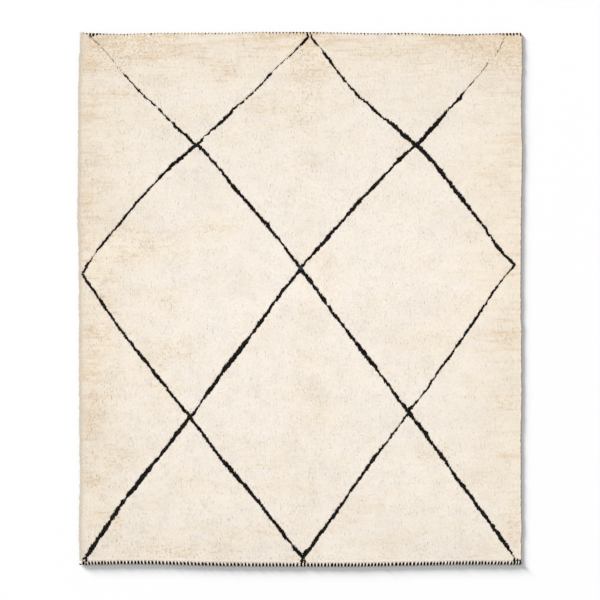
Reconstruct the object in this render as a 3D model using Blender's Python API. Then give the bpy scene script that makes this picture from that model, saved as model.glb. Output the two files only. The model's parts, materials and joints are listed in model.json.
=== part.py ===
"""Hand-knotted Beni Ourain wool rug, laid flat, in metres with +Z up.

The origin is on the floor under the middle of the rug. +X is across the rug and +Y runs along
it, towards the end that the pile leans to. Three pieces make the rug: the knotted field with its
thick pile, and the two ends of the warp, each turned under and bound with whip stitches into a
firm roll. The dark lines of the pattern are knotted in the field and change nothing in its shape.
"""

import bmesh
import bpy
import numpy as np
from mathutils import Vector, noise

# --- the rug's size, in metres
HALF_WIDTH = 1.247
HALF_LENGTH = 1.500
PILE_HEIGHT = 0.0190  # foundation and pile together, between the lumps
SEAM_GAP = 0.0003  # between the field and each bound end

# --- how far each long side and each end bends from a straight line, in millimetres inward
# Each row is a place along that edge, as a fraction of it from one end to the other.
SIDE_WAVER = (
    # fraction of the length (0 front, 1 back), left side, right side
    (0.00, 16.0, 8.0),
    (0.06, 11.0, 2.0),
    (0.17, 14.0, 1.0),
    (0.25, 11.0, 5.0),
    (0.42, 11.0, 3.0),
    (0.50, 8.0, 6.5),
    (0.58, 5.5, 7.0),
    (0.66, 0.0, 5.5),
    (0.75, 2.0, 0.5),
    (0.91, 3.5, 0.0),
    (1.00, 17.0, 2.0),
)
END_WAVER = (
    # fraction of the width (0 left, 1 right), front end, back end
    (0.00, 9.0, 7.0),
    (0.09, 14.0, 13.0),
    (0.17, 13.0, 6.5),
    (0.33, 4.0, 4.0),
    (0.40, 1.5, 0.0),
    (0.54, 0.0, 0.0),
    (0.62, 1.0, 5.0),
    (0.74, 4.0, 6.0),
    (0.86, 8.5, 16.0),
    (0.94, 9.0, 10.0),
    (1.00, 9.0, 7.0),
)

# --- the field's mesh and its soft lumps
CELLS_ACROSS = 36
CELLS_ALONG = 55
BORDER_INSET = 0.030  # from the wall to the outermost row of the even grid
LUMP_HEIGHT = 0.0048
LUMP_WIDTH = 0.24  # longer across than along, as the rows of knots run across
LUMP_LENGTH = 0.13
FINE_LUMP_HEIGHT = 0.0040
FINE_LUMP_SIZE = 0.085

# --- the field's rim: rings from the shoulder of the pile down to the floor
SHOULDER_INSET = 0.009
SHOULDER_Z = 0.0170
SHOULDER_ROUGHNESS = 0.0008
WALL_Z = 0.0115  # height at which the wall stands out furthest
FOOT_INSET = 0.003  # the foundation stands back under the pile on the long sides

# --- locks of wool that stick out along the rim
SIDE_REACH = 0.015
SIDE_TIP_Z = 0.0035
BACK_TIP_Z = 0.0112
REACH_SPREAD = 0.006
LOCK_TIP_SHARE = 0.30  # the tip's width as a share of the root's
LOCK_TIP_HEIGHT = 0.0026
SHORT_LOCK_LIFT = 0.3  # a short lock droops less, by this share of what it lacks
PILE_LEAN = 0.008  # how far a side lock's tip leans towards +Y
LEAN_SPREAD = 0.003

# --- the bound ends: the roll's section, from its seam face over its crown to its outer edge
BINDING_DEPTH = 0.026
BINDING_SECTION = (
    # distance from the seam face as a share of the depth, height in metres
    (0.00, 0.0000),
    (0.00, 0.0078),
    (0.16, 0.0098),
    (0.40, 0.0106),
    (0.66, 0.0098),
    (0.88, 0.0074),
    (1.00, 0.0036),
    (0.96, 0.0000),
)
BINDING_STEPS = 72
BINDING_END_LENGTH = 0.007  # the rounded end past the last full section
BINDING_END_SHARE = 0.62  # the last section's size as a share of a full one

SHARP_ANGLE = 0.9  # radians; edges past it are shaded sharp
SEED = 417


def clear_scene():
    """Remove every object that the file opened with."""
    for thing in list(bpy.data.objects):
        bpy.data.objects.remove(thing, do_unlink=True)


def wool(name, colour, roughness):
    """A plain wool material."""
    material = bpy.data.materials.new(name)
    material.use_nodes = True
    shader = material.node_tree.nodes["Principled BSDF"]
    shader.inputs["Base Color"].default_value = (*colour, 1.0)
    shader.inputs["Roughness"].default_value = roughness
    shader.inputs["Metallic"].default_value = 0.0
    return material


def waver(table, column, fraction):
    """How far an edge stands inward of its straight line at this fraction of it."""
    places = [row[0] for row in table]
    depths = [row[column] for row in table]
    return float(np.interp(fraction, places, depths)) / 1000.0


def plan_point(across, along, inset):
    """A point of the plan at two fractions, inside an outline that is drawn in by inset.

    inset holds the left, right, front and back distances from the rug's outermost outline.
    """
    left = -HALF_WIDTH + waver(SIDE_WAVER, 1, along) + inset[0]
    right = HALF_WIDTH - waver(SIDE_WAVER, 2, along) - inset[1]
    front = -HALF_LENGTH + waver(END_WAVER, 1, across) + inset[2]
    back = HALF_LENGTH - waver(END_WAVER, 2, across) - inset[3]
    return left + (right - left) * across, front + (back - front) * along


def wall_inset(further):
    """The field's wall stands in by the locks' reach on the sides and by the binding at the ends."""
    side = SIDE_REACH + further
    end = BINDING_DEPTH + SEAM_GAP + further
    return side, side, end, end


def pile_top(x, y):
    """Height of the pile, with long soft lumps and finer ones on them."""
    broad = noise.noise(Vector((x / LUMP_WIDTH, y / LUMP_LENGTH, 0.0)))
    fine = noise.noise(Vector((x / FINE_LUMP_SIZE, y / FINE_LUMP_SIZE, 7.0)))
    return PILE_HEIGHT + LUMP_HEIGHT * broad + FINE_LUMP_HEIGHT * fine


def rim_fractions():
    """Fractions of every rim point, anticlockwise from the front left corner.

    The rim has two points for each cell of the even grid, so its locks are twice as fine.
    """
    wide = 2 * CELLS_ACROSS
    long = 2 * CELLS_ALONG
    front = [(i / wide, 0.0) for i in range(wide)]
    right = [(1.0, i / long) for i in range(long)]
    back = [(1.0 - i / wide, 1.0) for i in range(wide)]
    left = [(0.0, 1.0 - i / long) for i in range(long)]
    return front + right + back + left


def rim_side(index):
    """Which edge of the rug the rim segment after this point lies on."""
    wide = 2 * CELLS_ACROSS
    long = 2 * CELLS_ALONG
    ends = {"front": wide, "right": wide + long, "back": 2 * wide + long, "left": 2 * (wide + long)}
    return next(name for name, end in ends.items() if index < end)


def grid_border(rows):
    """The even grid's outer points, anticlockwise from the front left corner."""
    front = rows[0][:-1]
    right = [row[-1] for row in rows[:-1]]
    back = rows[-1][:0:-1]
    left = [row[0] for row in rows[:0:-1]]
    return front + right + back + left


def add_top(mesh):
    """The lumpy top as an even grid. Returns its rows of points."""
    inset = wall_inset(BORDER_INSET)
    rows = []
    for j in range(CELLS_ALONG + 1):
        row = []
        for i in range(CELLS_ACROSS + 1):
            x, y = plan_point(i / CELLS_ACROSS, j / CELLS_ALONG, inset)
            row.append(mesh.verts.new((x, y, pile_top(x, y))))
        rows.append(row)
    for lower, upper in zip(rows[:-1], rows[1:]):
        for i in range(CELLS_ACROSS):
            mesh.faces.new((lower[i], lower[i + 1], upper[i + 1], upper[i]))
    return rows


def add_ring(mesh, inset, height, spread, rng):
    """One ring of rim points at a height, roughened by up to spread."""
    ring = []
    for across, along in rim_fractions():
        x, y = plan_point(across, along, inset)
        ring.append(mesh.verts.new((x, y, height + float(rng.uniform(-spread, spread)))))
    return ring


def add_shoulder(mesh, border, ring):
    """Three faces from each border edge of the grid out to two segments of the ring."""
    count = len(border)
    for k in range(count):
        near, following = border[k], border[(k + 1) % count]
        first, middle, last = (ring[(2 * k + step) % len(ring)] for step in range(3))
        mesh.faces.new((first, middle, near))
        mesh.faces.new((middle, following, near))
        mesh.faces.new((middle, last, following))


def add_band(mesh, lower, upper):
    """A band of wall between two rings. Returns its faces in the rings' order."""
    count = len(lower)
    return [
        mesh.faces.new((lower[k], lower[(k + 1) % count], upper[(k + 1) % count], upper[k]))
        for k in range(count)
    ]


def pull_lock(face, side, rng):
    """Draw one extruded wall face out into a tapered lock that leans and droops.

    The face slopes back under the shoulder, so its middle stands half that inset behind the wall.
    """
    middle = face.calc_center_median()
    behind = SHOULDER_INSET / 2
    short_by = float(rng.uniform(0.0, REACH_SPREAD))
    stray = float(rng.uniform(-LEAN_SPREAD, LEAN_SPREAD))
    if side == "back":
        reach = Vector((stray, behind + BINDING_DEPTH + SEAM_GAP - short_by, 0.0))
        tip_z = BACK_TIP_Z
    else:
        outward = behind + SIDE_REACH - short_by
        reach = Vector((outward if side == "right" else -outward, PILE_LEAN + stray, 0.0))
        tip_z = SIDE_TIP_Z + SHORT_LOCK_LIFT * short_by
    for vert in face.verts:
        above = vert.co.z > middle.z
        flat = Vector((middle.x, middle.y, 0.0))
        from_middle = Vector((vert.co.x, vert.co.y, 0.0)) - flat
        vert.co = flat + from_middle * LOCK_TIP_SHARE + reach
        vert.co.z = tip_z + (LOCK_TIP_HEIGHT if above else 0.0)


def build_field():
    """The knotted field: one closed slab, flat below, with locks along three of its edges."""
    rng = np.random.default_rng(SEED)
    mesh = bmesh.new()
    border = grid_border(add_top(mesh))
    shoulder = add_ring(mesh, wall_inset(SHOULDER_INSET), SHOULDER_Z, SHOULDER_ROUGHNESS, rng)
    wall = add_ring(mesh, wall_inset(0.0), WALL_Z, 0.0, rng)
    side, _, end, _ = wall_inset(0.0)
    foot_inset = (side + FOOT_INSET, side + FOOT_INSET, end, end)
    foot = add_ring(mesh, foot_inset, 0.0, 0.0, rng)
    add_shoulder(mesh, border, shoulder)
    upper_band = add_band(mesh, wall, shoulder)
    add_band(mesh, foot, wall)
    mesh.faces.new(foot[::-1])

    sides = [rim_side(k) for k in range(len(upper_band))]
    roots = [face for face, side in zip(upper_band, sides) if side != "front"]
    root_sides = [side for side in sides if side != "front"]
    drawn = bmesh.ops.extrude_discrete_faces(mesh, faces=roots)["faces"]
    for face, side in zip(drawn, root_sides):
        pull_lock(face, side, rng)
    return mesh


def build_binding(front):
    """One bound end: a roll of even section that follows the end's slow waver."""
    table_column = 1 if front else 2
    outward = -1.0 if front else 1.0
    mesh = bmesh.new()
    stations = [(i / BINDING_STEPS, 0.0, 1.0) for i in range(BINDING_STEPS + 1)]
    stations.insert(0, (0.0, -BINDING_END_LENGTH, BINDING_END_SHARE))
    stations.append((1.0, BINDING_END_LENGTH, BINDING_END_SHARE))
    sections = []
    for fraction, past_end, share in stations:
        x, _ = plan_point(fraction, 0.0 if front else 1.0, wall_inset(0.0))
        edge_y = outward * (HALF_LENGTH - waver(END_WAVER, table_column, fraction))
        seam_y = edge_y - outward * BINDING_DEPTH
        middle = (1.0 - share) * 0.5
        section = []
        for across, height in BINDING_SECTION:
            depth = (middle + share * across) * BINDING_DEPTH
            section.append(mesh.verts.new((x + past_end, seam_y + outward * depth, share * height)))
        sections.append(section)
    count = len(BINDING_SECTION)
    for one, other in zip(sections[:-1], sections[1:]):
        for k in range(count):
            after = (k + 1) % count
            mesh.faces.new((one[k], other[k], other[after], one[after]))
    mesh.faces.new(sections[0])
    mesh.faces.new(sections[-1][::-1])
    return mesh


def place(name, mesh, material):
    """Turn a finished bmesh into a named object with its material."""
    bmesh.ops.recalc_face_normals(mesh, faces=mesh.faces[:])
    data = bpy.data.meshes.new(name)
    mesh.to_mesh(data)
    mesh.free()
    data.materials.append(material)
    data.shade_smooth()
    data.set_sharp_from_angle(angle=SHARP_ANGLE)
    thing = bpy.data.objects.new(name, data)
    bpy.context.scene.collection.objects.link(thing)
    return thing


clear_scene()
cream_wool = wool("cream_pile_wool", (0.84, 0.76, 0.64), 0.95)
binding_wool = wool("binding_wool", (0.10, 0.095, 0.09), 0.9)
place("rug_field", build_field(), cream_wool)
place("end_binding_front", build_binding(front=True), binding_wool)
place("end_binding_back", build_binding(front=False), binding_wool)
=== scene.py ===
"""A hand-knotted wool rug laid flat: woven ground, leaning pile, dark lattice and bound ends.

Units are metres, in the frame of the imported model: the floor is z = 0, +X runs across the rug
and +Y along it, towards the end that the pile leans to.
"""

import json

import bpy
import numpy as np
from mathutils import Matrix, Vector, noise

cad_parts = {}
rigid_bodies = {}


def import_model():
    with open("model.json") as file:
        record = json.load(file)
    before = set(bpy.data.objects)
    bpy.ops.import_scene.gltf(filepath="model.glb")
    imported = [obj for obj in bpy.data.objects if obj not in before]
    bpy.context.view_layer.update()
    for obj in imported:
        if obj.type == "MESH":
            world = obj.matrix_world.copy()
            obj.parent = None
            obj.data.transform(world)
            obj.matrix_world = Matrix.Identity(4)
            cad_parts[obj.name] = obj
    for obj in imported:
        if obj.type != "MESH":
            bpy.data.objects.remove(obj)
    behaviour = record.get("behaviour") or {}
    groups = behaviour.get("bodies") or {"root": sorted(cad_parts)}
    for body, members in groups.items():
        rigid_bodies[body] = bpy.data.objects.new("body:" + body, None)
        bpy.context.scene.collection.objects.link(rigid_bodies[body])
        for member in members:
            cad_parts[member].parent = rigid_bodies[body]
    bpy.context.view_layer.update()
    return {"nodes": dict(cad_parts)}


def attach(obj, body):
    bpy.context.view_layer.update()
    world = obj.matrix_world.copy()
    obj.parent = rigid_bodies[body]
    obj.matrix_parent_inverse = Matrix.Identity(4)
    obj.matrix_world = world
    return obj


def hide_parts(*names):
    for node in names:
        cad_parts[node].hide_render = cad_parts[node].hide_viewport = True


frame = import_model()


# ---------------------------------------------------------------------------------------------
# Woven ground
# The wool warp and weft that every knot is tied on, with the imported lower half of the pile. It
# is one cloth, woven on an upright loom, so its long sides and its ends waver by a few
# millimetres. It follows the lumps of the solid, drawn in to leave room for the locks.

half_width = 1.247
half_length = 1.500
side_reach = 0.006  # the locks along the sides stand this far past the cloth
binding_depth = 0.026
seam_gap = 0.0003
front_lip = 0.0060  # the first knots overhang the front seam by this much
lip_width = 0.030
waist_height = 0.0095  # under the lip the ground steps back to the seam at this height
waist_share = 0.8  # or at this share of the ground's own height, where that is lower

SIDE_WAVER = (
    # share of the length from the front, left side, right side, in millimetres inward
    (0.00, 16.0, 8.0), (0.06, 11.5, 4.0), (0.11, 15.0, 7.5), (0.16, 18.5, 8.0),
    (0.21, 15.0, 8.5), (0.25, 14.0, 7.5), (0.30, 14.5, 3.5), (0.35, 11.0, 5.0),
    (0.42, 13.0, 5.0), (0.50, 11.5, 9.0), (0.55, 12.0, 8.5), (0.60, 9.0, 8.0), (0.65, 3.0, 7.0),
    (0.69, 5.0, 5.0), (0.74, 7.5, 2.0), (0.79, 7.0, 1.0), (0.84, 9.0, 5.5), (0.89, 8.0, 4.5),
    (0.94, 12.0, 0.5), (1.00, 20.0, 2.0),
)
END_WAVER = (
    # share of the width from the left, front end, back end, in millimetres inward
    (0.00, 9.0, 7.0), (0.09, 14.0, 13.0), (0.17, 13.0, 6.5), (0.33, 3.0, 6.0), (0.40, 1.5, 1.0),
    (0.54, 0.0, 2.0), (0.62, 0.0, 6.5), (0.67, 2.0, 9.0), (0.74, 5.0, 7.0), (0.86, 10.5, 15.0),
    (0.94, 11.0, 10.0), (1.00, 10.5, 7.0),
)

ground_cells_across = 118
ground_cells_along = 142
field_top = 0.019  # the solid's height where a point of the plan lies just outside it
pile_rise = 0.0068  # from the ground's surface to the top of the pile
ground_lowest = 0.0035
rim_width = 0.018  # over this width the ground rounds down to the floor
even_width = 0.050  # over this width the lumps even out towards a side
even_height = 0.0125
side_drop = 0.0050
front_rise = 0.0010
tuft_bump = 0.0010
tuft_bump_size = 0.028

# The way the wool lies, as a direction times a share of the lock's full length.
lie_inside = np.array((0.0, 0.96, 0.27))
lie_left = np.array((-0.21, 0.87, 0.04))
lie_right = np.array((0.21, 0.87, 0.04))
lie_front = np.array((0.0, 0.62, 0.18))
lie_back = np.array((0.0, 1.0, 0.17))
side_turn = 0.045  # from inside to outward over this width
front_turn = 0.024
back_turn = 0.050
left_corner_push, right_corner_push = 0.36, 0.20  # further back at the two back corners
lock_length = 0.026
back_reach = 0.0195  # how far the last rows fall over the bound end

BACK_COVER = (
    # millimetres from the middle, share of the bound end that the pile covers there
    (-1240, 1.16), (-1196, 1.12), (-1188, 0.70), (-1130, 0.70), (-1116, 1.02), (-900, 1.06),
    (-640, 1.06), (-380, 0.98), (-240, 1.06), (-200, 0.92), (20, 0.90), (120, 0.98), (420, 1.02),
    (620, 0.95), (830, 1.00), (850, 0.84), (890, 0.86), (930, 1.02), (1110, 0.98), (1135, 0.78),
    (1200, 0.74), (1243, 0.80),
)


def waver(table, column, share):
    """How far an edge stands inward of its straight line, in metres."""
    return np.interp(share, [row[0] for row in table], [row[column] for row in table]) / 1000.0


def plan_point(across, along, side_inset, end_inset):
    """A point of the rug's plan at two shares, inside an outline drawn in by the insets."""
    left = -half_width + waver(SIDE_WAVER, 1, along) + side_inset
    right = half_width - waver(SIDE_WAVER, 2, along) - side_inset
    front = -half_length + waver(END_WAVER, 1, across) + end_inset
    back = half_length - waver(END_WAVER, 2, across) - end_inset
    return left + (right - left) * across, front + (back - front) * along


def bed_point(across, along, inset=0.0):
    """A point of the ground's plan, whose front edge is carried over the seam by the lip."""
    x, y = plan_point(across, along, side_reach + inset, binding_depth + seam_gap + inset)
    from_front = along * 2.0 * (half_length - binding_depth)
    return x, y - front_lip * max(0.0, 1.0 - from_front / lip_width)


def lie_of_pile(x, across, along):
    """Towards the back end inside, out over the sides, and shorter along the front seam."""
    width = 2.0 * (half_width - side_reach)
    length = 2.0 * (half_length - binding_depth)
    left = max(0.0, 1.0 - across * width / side_turn)
    right = max(0.0, 1.0 - (1.0 - across) * width / side_turn)
    front = max(0.0, 1.0 - along * length / front_turn)
    from_back = (1.0 - along) * length
    back = min(1.0, max(0.0, 2.0 - 2.0 * from_back / back_turn))
    cover = np.interp(x * 1000.0, *zip(*BACK_COVER))
    over_end = (back_reach * cover + from_back) / lock_length * lie_back
    lie = lie_inside * (1.0 - back) + over_end * back
    lie = lie * (1.0 - front) + lie_front * front
    outward = lie_left * left + lie_right * right
    outward[1] += back * (left_corner_push * left + right_corner_push * right)
    return lie * (1.0 - left - right) + outward


def ground_height(x, y, across, along):
    """The ground lies under the solid's lumps, rounds down at the sides and rises at the front."""
    solid = frame["nodes"]["rug_field"]
    hit, place, _, _ = solid.ray_cast(Vector((x, y, 1.0)), Vector((0.0, 0.0, -1.0)))
    height = (place.z if hit else field_top) - pile_rise
    height += tuft_bump * noise.noise(Vector((x, y, 0.0)) / tuft_bump_size)
    from_side = min(across, 1.0 - across) * 2.0 * (half_width - side_reach)
    from_front = along * 2.0 * (half_length - binding_depth)
    height += max(0.0, 1.0 - from_side / even_width) * (even_height - height)
    height -= side_drop * max(0.0, 1.0 - from_side / rim_width) ** 2
    height += front_rise * max(0.0, 1.0 - from_front / rim_width)
    return max(ground_lowest, height)


class Value:
    """A number or a direction in a node tree. Arithmetic on it adds the maths nodes."""

    def __init__(self, nodes, socket):
        self.nodes, self.socket, self.node = nodes, socket, socket.node

    def __getitem__(self, name):
        """Another output of the same node."""
        return Value(self.nodes, self.node.outputs[name])

    def __add__(self, other):
        return self.nodes.math("ADD", self, other)

    def __mul__(self, other):
        return self.nodes.math("MULTIPLY", self, other)

    def __truediv__(self, other):
        return self.nodes.math("DIVIDE", self, other)

    def __sub__(self, other):
        return self.nodes.math("SUBTRACT", self, other)

    def __rsub__(self, other):
        return self.nodes.math("SUBTRACT", other, self)

    def __neg__(self):
        return self.nodes.math("MULTIPLY", self, -1.0)


class Nodes:
    """A node tree, with short ways to add the nodes that the rug needs."""

    def __init__(self, tree):
        self.tree = tree

    def give(self, node, values):
        """Set or link a node's inputs, by name or number."""
        for key, value in values.items():
            if isinstance(value, Value):
                self.tree.links.new(value.socket, node.inputs[key])
            else:
                node.inputs[key].default_value = value

    def add(self, kind, *inputs, **named):
        """A node's first output. Names in lower case are settings, the others are inputs."""
        node = self.tree.nodes.new(kind)
        given = dict(enumerate(inputs))
        for name, value in named.items():
            if name[0].islower():
                setattr(node, name, value)
            else:
                given[name.replace("_", " ")] = value
        self.give(node, given)
        return Value(self, node.outputs[0]) if node.outputs else None

    def math(self, operation, *values, clamp=False):
        return self.add("ShaderNodeMath", *values, operation=operation, use_clamp=clamp)

    def vector(self, operation, *values, **named):
        return self.add("ShaderNodeVectorMath", *values, operation=operation, **named)

    def parts(self, place):
        """A place's or a direction's X, Y and Z."""
        split = self.add("ShaderNodeSeparateXYZ", place)
        return split["X"], split["Y"], split["Z"]

    def fade(self, value, low, high, to_low=0.0, to_high=1.0):
        """A linear fade from to_low at low to to_high at high, held past both."""
        return self.add("ShaderNodeMapRange", value, low, high, to_low, to_high)

    def cloud(self, place, size, stretch=(1.0, 1.0, 1.0), detail=3.0, rough=0.55):
        """Soft random clouds about size across, drawn out by stretch."""
        drawn = self.add("ShaderNodeMapping", Vector=place, Scale=stretch)
        return self.add("ShaderNodeTexNoise", Vector=drawn, Scale=1.0 / size, Detail=detail,
                        Roughness=rough)

    def tint(self, factor, under, over):
        """One colour laid over another by a factor."""
        a, b = (c if isinstance(c, Value) else (*c, 1.0) for c in (under, over))
        return self.add("ShaderNodeMix", data_type="RGBA", Factor=factor, A=a, B=b)["Result"]


class Wool(Nodes):
    """A matt wool material under construction."""

    def __init__(self, name, sheen, gloss):
        self.material = bpy.data.materials.new(name)
        self.material.use_nodes = True
        super().__init__(self.material.node_tree)
        self.shader = self.tree.nodes["Principled BSDF"]
        self.give(self.shader, {"Roughness": 0.95, "Specular IOR Level": gloss,
                                "Sheen Weight": sheen, "Sheen Roughness": 0.6})
        self.place = self.add("ShaderNodeTexCoord")["Object"]

    def note(self, name):
        """A number that the mesh carries."""
        return self.add("ShaderNodeAttribute", attribute_name=name)["Fac"]

    def finish(self, colour, height, depth, strength):
        """Dye the wool and raise its fibres by bump."""
        bump = self.add("ShaderNodeBump", Strength=strength, Distance=depth, Height=height)
        self.give(self.shader, {"Base Color": colour, "Normal": bump})
        return self.material


CREAM = (0.888, 0.845, 0.806)
BUTTER = (0.872, 0.795, 0.688)
SAND = (0.770, 0.648, 0.512)
OCHRE = (0.690, 0.495, 0.290)
# painted shade at the roots of locks and between their fibres, and the tone of husky locks
HUSK = (0.760, 0.620, 0.430)
# grey laid over the wool towards the ends and sides and in clouds, and as painted shade on the
# left rim
GREY_AND_SHADE = (0.615, 0.590, 0.550)
SHADED = (0.480, 0.432, 0.366)
# the ground's cream: felted wool, and partly painted shade where it shows between the locks
FELTED_AND_SHADED = (0.88, 0.82, 0.73)
CREAM_SHINE = {"sheen": 0.2, "gloss": 0.10}

WORN_PLACES = (
    # millimetres from the middle, half width and half length in metres, how yellow the curls are
    (-1150, -640, 0.12, 0.14, 0.45), (-510, 390, 0.15, 0.07, 1.00),
    (-890, 330, 0.17, 0.13, 0.55), (-690, -285, 0.24, 0.09, 0.60),
    (-255, -170, 0.13, 0.15, 0.50), (66, -490, 0.20, 0.40, 0.50), (655, -230, 0.26, 0.08, 0.55),
    (1150, -200, 0.11, 0.08, 0.40), (740, -860, 0.13, 0.06, 0.75),
    (1200, -1290, 0.06, 0.20, 0.45), (-700, -1405, 0.26, 0.06, 0.50),
    (180, 150, 0.10, 0.18, 0.65), (500, 560, 0.18, 0.06, 0.50),
)
worn_rim, worn_heart = 1.3, 0.2  # shares of a worn place's half sizes: wear starts, wear is full
FLEECE_CLOUDS = (
    # size in metres, how many times narrower along than across, detail, roughness, and the
    # cloud's own levels where it starts to show and where it shows in full
    (0.30, 9.0, 5.0, 0.55, 0.47, 0.72),  # bands
    (0.16, 20.0, 2.0, 0.50, 0.55, 0.70),  # rows: painted shade lines between the knot rows
    (0.30, 1.9, 4.0, 0.60, 0.47, 0.70),  # patches
    (0.026, 2.2, 3.0, 0.65, 0.46, 0.70),  # specks
    (0.013, 1.2, 2.0, 0.60, 0.50, 0.66),  # squiggles
    (0.42, 1.6, 3.0, 0.55, 0.44, 0.66),  # grey
)
WEAR_ZONES = {
    # zone: which way it is measured, metres from the middle where it starts and is full, and how
    # strong it is at the two, which is 0 and 1 where nothing is said
    "back": ("y", 1.20, 1.46), "left": ("x", -0.95, -1.22), "right": ("x", 0.95, 1.22, 0.0, 0.05),
    "right_corner_along": ("y", 1.22, 1.44), "right_corner_across": ("x", 0.70, 1.05),
    "left_corner_along": ("y", 1.25, 1.44), "left_corner_across": ("x", -0.60, -0.95),
    "edges": ("y", -1.42, -0.90, 0.06, 0.20),
    "front_dust": ("y", 0.1, -1.0, 0.0, 0.13), "back_dust": ("y", 0.1, 1.4, 0.0, 0.17),
    "front_end_dust": ("y", -1.10, -1.40, 0.0, 0.10), "side_dust": ("off_x", 0.6, 1.2, 0.0, 0.06),
    "column_left": ("x", -0.10, 0.0), "column_right": ("x", 0.16, 0.06),
    "column_along": ("y", -0.30, 0.05, 0.3, 1.0), "patches": ("x", -0.2, 0.9, 0.62, 0.34),
    # the painted shade lines between knot rows, stronger towards the back
    "rows": ("y", -0.8, 0.6, 0.06, 0.16),
}
edge_power, rim_power = 3.0, 1.35  # how closely wear keeps to the edges, and painted shade to the left rim
back_age, corner_age, left_age = 0.09, 0.10, 0.15  # how much these zones yellow the wool
rim_shade, cloud_dust = 0.75, 0.13  # how much painted shade darkens the left rim, and how much the grey clouds dull it
speck_curls, patch_curls = 0.80, 0.16  # how yellow the specks of a patch are, and the rest of it
squiggle_curls, loose_curls = 0.80, 0.14  # the same at a worn place
right_corner_curls, left_corner_curls, column_curls = 1.15, 0.95, 0.45
band_yellow = 0.17
edge_yellowing = (0.0, 0.8, 0.62, 1.5)  # all the yellow grows from the middle to the edges
turned_wool_shade = (0.55 * lie_left[0], lie_left[0], 0.0, 0.75)  # painted shade where the wool turns over the left side
YELLOW_STEPS = (
    # from the freshest wool: how yellow it is where the colour starts and is full, the most of it
    (0.00, 0.26, 1.0, BUTTER),
    (0.26, 0.62, 1.0, SAND),
    (0.38, 0.90, 0.9, OCHRE),
)


def worn_places(wool):
    """How worn the pile is at each place, from 0 to 1, soft at every edge."""
    most = None
    for x, y, half_across, half_along, yellow in WORN_PLACES:
        about = wool.add(
            "ShaderNodeMapping", vector_type="TEXTURE", Vector=wool.place,
            Location=(x / 1000.0, y / 1000.0, 0.0), Scale=(half_across, half_along, 10.0),
        )
        away = wool.vector("LENGTH", about)["Value"]
        here = wool.fade(away, worn_rim, worn_heart, 0.0, yellow)
        most = wool.math("MAXIMUM", most, here) if most else here
    return most


def fleece_colour(wool, cream=CREAM):
    """Undyed fleece: cream inside, yellower to the edges, in bands as it was knotted, with painted
    shade on the left rim and between knot rows.
    """
    x, y, _ = wool.parts(wool.place)
    off_x, off_y = (wool.math("ABSOLUTE", way) for way in (x, y))
    ways = {"x": x, "y": y, "off_x": off_x}
    zone = {name: wool.fade(ways[way], *levels) for name, (way, *levels) in WEAR_ZONES.items()}
    bands, rows, patches, specks, squiggles, grey = (
        wool.fade(wool.cloud(wool.place, size, (1.0, narrow, 1.0), detail, rough), start, full)
        for size, narrow, detail, rough, start, full in FLEECE_CLOUDS
    )

    # yellowed by wear towards the four edges, most at the back end and its right corner
    to_side = wool.math("POWER", off_x / half_width, edge_power)
    to_end = wool.math("POWER", off_y / half_length, edge_power)
    reach = wool.math("MAXIMUM", to_side, to_end)
    right_corner = zone["right_corner_along"] * zone["right_corner_across"]
    left_corner = zone["left_corner_along"] * zone["left_corner_across"]
    age = reach * zone["edges"] + zone["back"] * back_age + right_corner * corner_age
    age = age + zone["left"] * left_age + zone["right"]

    # greyed with painted shade on the left rim, greyer towards both ends and sides, and in wide
    # clouds
    aside = wool.note("aside")
    rim = wool.math("POWER", wool.fade(aside, 0.0, lie_left[0]), rim_power)
    greyed_and_shaded = rim * rim_shade + zone["front_dust"] + zone["back_dust"] + zone["front_end_dust"]
    greyed_and_shaded = greyed_and_shaded + zone["side_dust"] + grey * cloud_dust

    # loose yellow curls: in patches, at the worn places, at the back corners and in the middle
    column = zone["column_left"] * zone["column_right"] * zone["column_along"]
    curls = patches * zone["patches"] * (specks * speck_curls + patch_curls)
    curls = curls + worn_places(wool) * (squiggles * squiggle_curls + loose_curls)
    at_corners = right_corner * right_corner_curls + left_corner * left_corner_curls
    curls = curls + squiggles * (at_corners + column * column_curls)
    # the rows add painted shade lines between the knot rows, in with the yellow tints
    drift = bands * band_yellow + curls + rows * zone["rows"]
    drift = drift * wool.fade(reach, *edge_yellowing)
    yellow = wool.math("ADD", drift, age, clamp=True)
    colour = cream
    for start, full, most, dye in YELLOW_STEPS:
        colour = wool.tint(wool.fade(yellow, start, full, 0.0, most), colour, dye)
    # the grey, with the left rim's painted shade
    colour = wool.tint(greyed_and_shaded, colour, GREY_AND_SHADE)
    # painted shade where the wool turns over the left side
    return wool.tint(wool.fade(aside, *turned_wool_shade), colour, SHADED)


def packed_wool():
    """The ground between the knots: the same fleece, felted by wear, in a deeper cream that is
    partly painted shade between the locks.
    """
    wool = Wool("packed_wool", **CREAM_SHINE)
    felt = wool.cloud(wool.place, size=0.0035, stretch=(1.6, 0.6, 1.0), detail=4.0, rough=0.7)
    return wool.finish(fleece_colour(wool, FELTED_AND_SHADED), felt, depth=0.002, strength=0.5)


def plain_mesh(name, points, faces=()):
    mesh = bpy.data.meshes.new(name)
    mesh.from_pydata(points, [], faces)
    return mesh


def keep_at_points(mesh, name, values):
    """A number or a direction kept at each point of a mesh."""
    values = np.array(values, dtype=np.float32)
    kind, field = ("FLOAT", "value") if values.ndim == 1 else ("FLOAT_VECTOR", "vector")
    mesh.attributes.new(name, kind, "POINT").data.foreach_set(field, values.ravel())


def put(name, data):
    """A new object at the scene's origin."""
    thing = bpy.data.objects.new(name, data)
    bpy.context.scene.collection.objects.link(thing)
    return thing


def add_piece(name, mesh, material):
    """A finished piece at the origin, riding on the rug."""
    mesh.materials.clear()
    mesh.materials.append(material)
    piece = put(name, mesh)
    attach(piece, "root")
    return piece


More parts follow.
